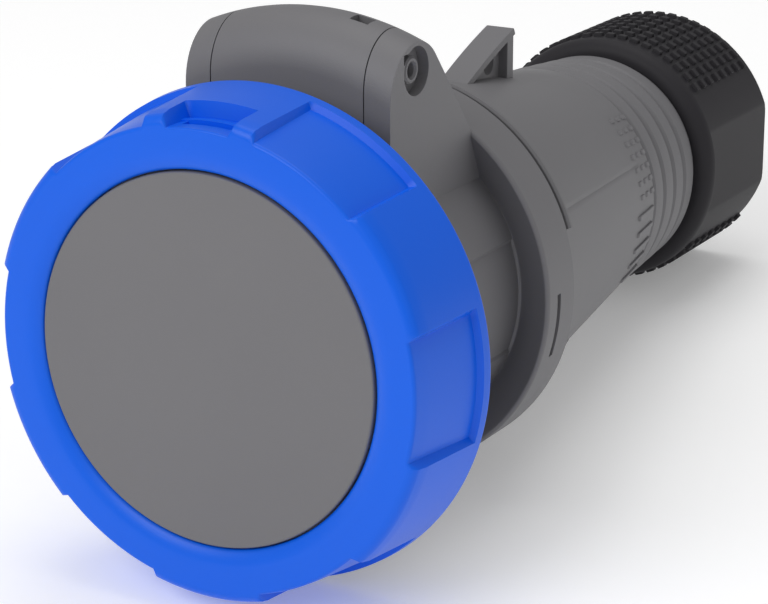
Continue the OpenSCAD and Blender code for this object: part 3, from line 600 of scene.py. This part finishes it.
def collarAt(y):
    s = shellSizes
    part = (y - s["taperEnd"]) / (s["end"] - s["taperEnd"])
    return s["collarFront"] + (s["collarEnd"] - s["collarFront"]) * part


def lugShape():
    s = shellSizes
    foot = taperAt(s["lugFoot"]) - 0.6
    run, rise = s["lugPeakY"] - s["lugFoot"], s["lugPeakZ"] - foot
    bulge = s["lugBulge"]
    top = [(s["lugFoot"] + run * u, foot + rise * ((1 + bulge) * u - bulge * u * u))
           for u in [i / 10 for i in range(11)]]
    under = [(y + s["strap"] / 2, z - s["strap"]) for y, z in reversed(top)]
    base = taperAt(s["lugPeakY"]) - 1.5
    strap = sideShape("strap", top + under, -s["lugHalf"], s["lugHalf"])
    bpy.ops.object.mode_set(mode="OBJECT")
    postFront, postRear = s["lugPeakY"] - s["post"], s["lugPeakY"] - 0.1
    post = sideShape("post", [(postFront, s["lugPeakZ"] - 2.4), (postRear, s["lugPeakZ"] - 0.3),
                              (postRear, base), (postFront, base)],
                     -s["lugHalf"] + 0.05, s["lugHalf"] - 0.05)
    bpy.ops.object.mode_set(mode="OBJECT")
    foots = [(s["lugPeakY"] - 1, base), (s["lugFoot"] + 6, base)]
    web = sideShape("web", [(y, z - 0.6) for y, z in top] + foots, -s["web"] / 2, s["web"] / 2)
    bpy.ops.object.mode_set(mode="OBJECT")
    eyeZ = taperAt(s["eyeY"]) + s["eyeR"] + 0.8
    cutWith(web, drum("eye", (0, s["eyeY"], eyeZ), "X", s["eyeR"], 10, 48))
    for part in (strap, post, web):
        softenEdges(part, 0.22, 2, 40)
    return strap, post, web


gripSizes = dict(ribEnd=142.5, ribLength=11, ribHeight=0.5, ribClocks=(90, 97.5, 105, 112.5, 120),
                 dashEnd=143.4, dashPitchY=3.6, dashLength=2.4, dashHeight=0.35, dashRows=3,
                 dashClocks=(46, 52, 58, 64, 70, 76, 82), barWidth=1.1, barSlope=0.5)


def raisedBar(name, y0, y1, height, clock):
    # a low bar with sloping ends that follows the shell's taper
    g = gripSizes
    front, rear = y0 + g["barSlope"], y1 - g["barSlope"]
    points = [(y0, taperAt(y0) - 0.6), (y0, taperAt(y0) + 0.05), (front, taperAt(front) + height),
              (rear, taperAt(rear) + height), (y1, taperAt(y1) + 0.05), (y1, taperAt(y1) - 0.6)]
    bar = sideShape(name, points, -g["barWidth"] / 2, g["barWidth"] / 2)
    bpy.ops.object.mode_set(mode="OBJECT")
    softenEdges(bar, 0.18, 2, 30)
    bar.rotation_euler = (0, math.radians(clock), 0)
    return bar


def makeRearShell():
    s = shellSizes
    step = (s["end"] - s["taperEnd"] - 1) / s["beadCount"]
    beads = []
    for i in range(s["beadCount"]):
        y = s["taperEnd"] + 1 + i * step
        r = collarAt(y)
        beads += [(r - 0.5, y), (r - 0.15, y + 0.25), (r + 0.35, y + 0.85), (r + 0.45, y + step / 2 - 0.7),
                  (r + 0.35, y + step - 2.4), (r - 0.2, y + step - 1.85), (r - 0.5, y + step - 1.5)]
    taperRows = [(taperAt(y), y) for y in (81.0, 81.6, 95, 109, 123, 136.4, 137.0)]
    neckIn = s["taperR"] - 0.9 - s["wall"]
    strip = [(s["strip"] - s["edge"], s["start"] + 0.4), (s["strip"], s["start"] + 0.8),
             (s["strip"], s["stripEnd"] - 0.5), (s["strip"] - s["edge"], s["stripEnd"] - 0.05)]
    outline = ([(s["inside"], s["start"]), (s["front"] - 0.3, s["start"]), (s["front"], s["start"] + 0.2),
                (s["front"], s["start"] + 0.4)]
               + strip + [(taperAt(s["stripEnd"]), s["stripEnd"])] + taperRows
               + [(s["taperR"], s["taperEnd"] - 0.6), (s["taperR"] - 0.3, s["taperEnd"] - 0.1),
                  (s["taperR"] - 0.9, s["taperEnd"] + 0.6)] + beads
               + [(s["collarEnd"] - 0.3, s["end"] - 0.7), (s["collarEnd"], s["end"] - 0.5),
                  (s["collarEnd"], s["end"]), (s["thread"], s["end"]), (s["thread"], s["threadEnd"] - 1),
                  (s["thread"] - 1, s["threadEnd"]), (s["seatR"], s["threadEnd"]), (s["seatR"], s["seatY"]),
                  (s["passage"], s["seatY"]), (s["passage"], s["taperEnd"] + 12),
                  (s["passage"] + 2, s["taperEnd"] + 8), (neckIn, s["taperEnd"]), (s["inside"], 89.0)])
    shell = spinOutline("rearShell", outline, 0, 360)

    # the raised strip runs over the top only
    def belowStrip(clock):
        return not within(clock, 0, s["stripHalf"])
    for r, y in strip:
        moveRow(shell, (r, y), (taperAt(y), y), belowStrip)

    # moulding line down both sides
    def onLine(clock):
        return within(clock, s["lineClock"], 0.3) or within(clock, -s["lineClock"], 0.3)
    for r, y in taperRows[1:-1]:
        moveRow(shell, (r, y), (r - s["lineDepth"], y), onLine)
    bpy.ops.object.mode_set(mode="OBJECT")
    for clock in s["latchClocks"]:
        floor = taperAt(s["latchFront"] + 0.1) - s["latchDepth"]
        pocket = block("pocket", (-s["latchHalf"], s["latchFront"], floor),
                       (s["latchHalf"], s["latchRear"], 50))
        makeActive(pocket)
        bpy.ops.object.transform_apply(location=True, rotation=True, scale=True)
        pocket.rotation_euler = (0, math.radians(clock), 0)
        cutWith(shell, pocket)
    softenEdges(shell, 0.2, 2, 36)

    g = gripSizes
    extras = list(lugShape())
    for side in (1, -1):
        for clock in g["ribClocks"]:
            extras.append(raisedBar("gripRib", g["ribEnd"] - g["ribLength"], g["ribEnd"],
                                    g["ribHeight"], side * clock))
        for row in range(g["dashRows"]):
            y1 = g["dashEnd"] - row * g["dashPitchY"]
            for clock in g["dashClocks"]:
                extras.append(raisedBar("gripDash", y1 - g["dashLength"], y1,
                                        g["dashHeight"], side * clock))
    shell = joinPieces(shell, *extras)
    return finishPiece(shell, "connector", housingGrey, ["rear_shell"])


# gland nut

nutSizes = dict(start=173.3, end=211.1, core=29.3, crest=30.15, flat=27.6, flatStart=177.2,
                threadR=24.3, threadEnd=195.6, wallY=201.7, cageR=20.8, hole=13.0,
                frontRounding=3.2, rearRounding=0.8, padRows=17, padPitch=6.1, padBands=8,
                padStart=177.4, padEnd=210.0, padLength=1.9, padWidth=2.4,
                padSink=0.5, padSlope=(0.82, 0.78))


def makeGlandNut():
    s = nutSizes
    front, rear = s["frontRounding"], s["rearRounding"]
    rows = [(s["core"], y) for y in (s["flatStart"] - 0.4, s["flatStart"], 188, 199, s["end"] - 1.2)]
    outline = ([(s["threadR"], s["start"] + 0.5), (s["threadR"] + 0.5, s["start"])]
               + arc(s["core"] - front, s["start"] + front, front, -90, 0, 7) + rows
               + arc(s["core"] - rear, s["end"] - rear, rear, 0, 90, 4)
               + [(s["hole"] + 2, s["end"]), (s["hole"] + 0.6, s["end"] - 0.7), (s["hole"], s["end"] - 2.4),
                  (s["hole"], s["wallY"]), (s["cageR"], s["wallY"]), (s["cageR"], s["wallY"] - 1.9),
                  (s["threadR"], s["threadEnd"])])
    nut = spinOutline("nutShell", outline, 0.5, 360.5)

    # two flats: the side rows are pressed flat
    for side in (1, -1):
        pickVerts(nut, lambda r, y, clock, co: co.x * side > s["flat"] and y > s["flatStart"] - 0.1)
        bpy.ops.transform.resize(value=(0, 1, 1), center_override=(side * s["flat"], 0, 0))
    bpy.ops.object.mode_set(mode="OBJECT")
    softenEdges(nut, 0.3, 2, 34)

    # one row of gripping pads, copied round the nut
    pitch = (s["padEnd"] - s["padStart"]) / s["padBands"]
    sunk = s["core"] - s["padSink"]
    deselectAll()
    pads = []
    for band in range(s["padBands"]):
        middle = s["padStart"] + (band + 0.5) * pitch
        bpy.ops.mesh.primitive_cube_add(size=1, location=(0, middle, (sunk + s["crest"]) / 2))
        pad = bpy.context.object
        pad.scale = (s["padWidth"], s["padLength"], s["crest"] - sunk)
        bpy.ops.object.transform_apply(location=True, rotation=False, scale=True)
        bpy.ops.object.mode_set(mode="EDIT")
        pickFaces(pad, lambda r, y, clock, normal: normal.z > 0.5)
        bpy.ops.transform.resize(value=(*s["padSlope"], 1), center_override=(0, middle, s["crest"]))
        bpy.ops.object.mode_set(mode="OBJECT")
        softenEdges(pad, 0.12, 1, 30)
        pads.append(pad)
    row = joinPieces(*pads)
    copies = []
    half = (s["padRows"] - 1) / 2
    for middle in (0, 180):
        for i in range(s["padRows"]):
            copy = row.copy()
            copy.data = row.data.copy()
            bpy.context.collection.objects.link(copy)
            copy.rotation_euler = (0, math.radians(middle + (i - half) * s["padPitch"]), 0)
            copies.append(copy)
    bpy.data.objects.remove(row, do_unlink=True)
    nut = joinPieces(nut, *copies)
    return finishPiece(nut, "gland_nut", nutBlack, ["gland_nut"])


makeBayonetRing()
makeLid()
makeHousing()
makeHingePin()
makeRearShell()
makeGlandNut()

# the other solids keep their shape and take a finish
nodeFinish = dict(contact_insert=insertGrey, contact_retainer=insertGrey, line_contact=contactBrass,
                  neutral_contact=contactBrass, earth_contact=contactBrass, terminal_screws=pinSteel,
                  retainer_screws=pinSteel, insert_snap_ring=naturalPlastic, housing_seal=sealRubber,
                  shell_latches=housingGrey, lid_spring=pinSteel, lid_gasket=sealRubber,
                  ring_clip=naturalPlastic, grommet=sealRubber, clamp_cage=naturalPlastic,
                  slip_washer=naturalPlastic)
for nodeName, finish in nodeFinish.items():
    solid = frame["nodes"][nodeName]
    solid.data.materials.clear()
    solid.data.materials.append(finish)
print("solids finished", len(nodeFinish))


# floor, light and camera

def makeStage():
    deselectAll()
    bpy.ops.mesh.primitive_plane_add(size=8, location=(0, 0, 0))
    floor = bpy.context.object
    floor.name = "floor"
    paper = bpy.data.materials.new("floorWhite")
    paper.use_nodes = True
    nodes, links = paper.node_tree.nodes, paper.node_tree.links
    shader = nodes["Principled BSDF"]
    shader.inputs["Roughness"].default_value = 0.9
    shader.inputs["Emission Color"].default_value = (1, 1, 1, 1)
    shader.inputs["Emission Strength"].default_value = 0.2
    shader.inputs["Specular IOR Level"].default_value = 0.1
    place = nodes.new("ShaderNodeTexCoord")
    grain = nodes.new("ShaderNodeTexNoise")
    grain.inputs["Scale"].default_value = 300
    tone = nodes.new("ShaderNodeMix")
    tone.data_type = "RGBA"
    tone.inputs["A"].default_value = (0.93, 0.93, 0.93, 1)
    tone.inputs["B"].default_value = (0.95, 0.95, 0.95, 1)
    links.new(place.outputs["Object"], grain.inputs["Vector"])
    links.new(grain.outputs["Fac"], tone.inputs["Factor"])
    links.new(tone.outputs["Result"], shader.inputs["Base Color"])
    floor.data.materials.append(paper)
    world = bpy.data.worlds.new("softRoom")
    bpy.context.scene.world = world
    world.use_nodes = True
    world.node_tree.nodes["Background"].inputs["Color"].default_value = (1, 1, 1, 1)
    world.node_tree.nodes["Background"].inputs["Strength"].default_value = 0.42


def addSoftBox(name, at, aim, size, power):
    lamp = bpy.data.lights.new(name, "AREA")
    lamp.shape = "DISK"
    lamp.size = size
    lamp.energy = power
    holder = bpy.data.objects.new(name, lamp)
    bpy.context.collection.objects.link(holder)
    holder.location = at
    holder.rotation_euler = (Vector(aim) - Vector(at)).to_track_quat("-Z", "Y").to_euler()


def makeCamera():
    # stands in the connector's own frame, so it keeps its view of the part
    view = dict(at=(271.09, -406.52, 167.73), azimuth=29.65, elevation=17.68, lens=128.4)
    turn, rise = math.radians(view["azimuth"]), math.radians(view["elevation"])
    back = Vector((math.cos(rise) * math.sin(turn), -math.cos(rise) * math.cos(turn), math.sin(rise)))
    right = Vector((0, 0, 1)).cross(back).normalized()
    up = back.cross(right)
    pose = Matrix((right, up, back)).transposed().to_4x4()
    data = bpy.data.cameras.new("camera")
    data.lens = view["lens"]
    data.sensor_width = 36
    data.clip_start = 0.01
    camera = bpy.data.objects.new("camera", data)
    bpy.context.collection.objects.link(camera)
    place = layDown @ Vector(view["at"])
    camera.matrix_world = Matrix.Translation(place) @ Matrix.Rotation(-tilt, 4, "X") @ pose
    bpy.context.scene.camera = camera


makeStage()
addSoftBox("keyLight", (-0.3, -1.0, 0.9), (0, 0, 0.05), 0.9, 7)
addSoftBox("fillLight", (0.9, -0.6, 0.7), (0, 0, 0.05), 1.0, 0.5)
addSoftBox("topLight", (0.0, 0.3, 1.4), (0, 0, 0.05), 1.2, 6)
makeCamera()
bpy.context.scene.view_settings.view_transform = "Standard"
print("stage set")
